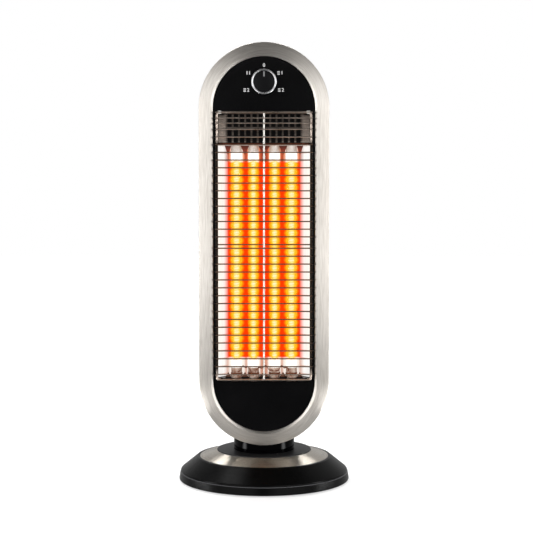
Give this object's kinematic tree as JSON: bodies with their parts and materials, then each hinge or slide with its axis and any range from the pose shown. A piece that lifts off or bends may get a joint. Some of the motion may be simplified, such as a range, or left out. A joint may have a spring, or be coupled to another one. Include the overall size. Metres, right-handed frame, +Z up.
{
  "type": "tower carbon tube heater",
  "caption": "Upright radiant tower heater with glowing carbon tubes behind a wire guard, a brushed oval frame, a control knob and a round swinging base.",
  "frame": {"origin": "on the floor, at the centre of the round base, on the swing axis", "axes": "+Z up along the swing axis; the heater's front, with the tubes and the knob, faces -Y; +X is to the right as seen from the front"},
  "size_m": [0.28, 0.28, 0.7095],
  "materials": {
    "satin_black": "satin moulded plastic, fine grain",
    "disc_black": "satin moulded plastic",
    "gloss_black": "polished moulded plastic",
    "fascia_black": "smooth moulded plastic",
    "knob_black": "satin moulded plastic",
    "brushed_trim": "brushed, warm nickel tone",
    "bright_ring": "bright plated",
    "guard_wire": "plated steel wire",
    "vent_steel": "brushed sheet",
    "polished_reflector": "mirror polished sheet",
    "heat_tinted_steel": "heat tinted brown",
    "tube_ceramic": "unglazed, fired brown at the ends",
    "quartz_glass": "clear drawn quartz",
    "glowing_carbon": "carbon fibre ribbon, glowing",
    "zinc_steel": "zinc plated sheet",
    "screw_steel": "zinc plated",
    "cast_weight": "rough cast",
    "foot_rubber": "moulded rubber",
    "bush_plastic": "natural acetal",
    "switch_plastic": "moulded",
    "wire_sheath": "woven glass fibre sheath"
  },
  "bodies": {
    "base": {"base_skirt": "satin_black", "base_plate": "zinc_steel", "base_screws": "screw_steel", "ballast_ring": "cast_weight", "rubber_feet": "foot_rubber", "trim_ring": "brushed_trim", "top_disc": "disc_black", "disc_screws": "screw_steel", "neck_bush": "bush_plastic", "cable_gland": "foot_rubber", "swing_motor": "zinc_steel", "motor_screws": "screw_steel", "tip_switch_body": "switch_plastic", "tip_spring": "screw_steel", "terminal_block": "bush_plastic", "base_wiring": "wire_sheath"},
    "crank": {"motor_shaft": "screw_steel", "crank_arm": "bush_plastic"},
    "link": {"link_rod": "zinc_steel"},
    "plunger": {"tip_plunger": "bush_plastic"},
    "head": {"turntable_plate": "zinc_steel", "turntable_screws": "screw_steel", "link_clip": "screw_steel", "neck": "gloss_black", "neck_screws": "screw_steel", "mid_housing": "satin_black", "back_cover": "satin_black", "cover_screws": "screw_steel", "front_frame": "brushed_trim", "front_fascia": "fascia_black", "switch_body": "switch_plastic", "switch_nut": "screw_steel", "vent_plate": "vent_steel", "reflector": "polished_reflector", "upper_tube_bracket": "heat_tinted_steel", "lower_tube_bracket": "heat_tinted_steel", "upper_end_caps": "tube_ceramic", "lower_end_caps": "tube_ceramic", "busbars": "heat_tinted_steel", "heat_shield": "zinc_steel", "thermal_cutout": "switch_plastic", "head_wiring": "wire_sheath", "guard_frame": "guard_wire", "guard_centre_rod": "guard_wire", "guard_cross_wires": "guard_wire", "wire_sockets": "fascia_black", "guard_lugs": "guard_wire", "quartz_tube_1": "quartz_glass", "quartz_tube_2": "quartz_glass", "quartz_tube_3": "quartz_glass", "quartz_tube_4": "quartz_glass", "carbon_filament_1": "glowing_carbon", "carbon_filament_2": "glowing_carbon", "carbon_filament_3": "glowing_carbon", "carbon_filament_4": "glowing_carbon"},
    "knob": {"switch_shaft": "screw_steel", "knob_body": "knob_black", "knob_ring": "bright_ring", "knob_cap": "knob_black"}
  },
  "joints": [
    {"name": "head_swing", "type": "hinge", "parent": "base", "child": "head", "pos_m": [0, 0, 0.045], "axis": [0, 0, 1], "range_deg": [-35, 35]},
    {"name": "knob_turn", "type": "hinge", "parent": "head", "child": "knob", "pos_m": [0, -0.06, 0.646], "axis": [0, 1, 0], "range_deg": [-120, 120]},
    {"name": "crank_turn", "type": "hinge", "parent": "base", "child": "crank", "pos_m": [0.01109, 0.056, 0.024], "axis": [0, 0, 1], "range_deg": [-90, 90]},
    {"name": "link_turn", "type": "hinge", "parent": "head", "child": "link", "pos_m": [0.026, 0, 0.029], "axis": [0, 0, 1], "range_deg": [-35, 35]},
    {"name": "tip_plunger_slide", "type": "slide", "parent": "base", "child": "plunger", "axis": [0, 0, 1], "range_m": [-0.004, 0], "stiffness_N_per_m": 60, "springref_m": -0.006, "deforming": ["tip_spring"]}
  ],
  "couplings": [
    {"joint": "crank_turn", "follows": "head_swing", "ratio": 2.5709},
    {"joint": "link_turn", "follows": "head_swing", "ratio": -1}
  ]
}
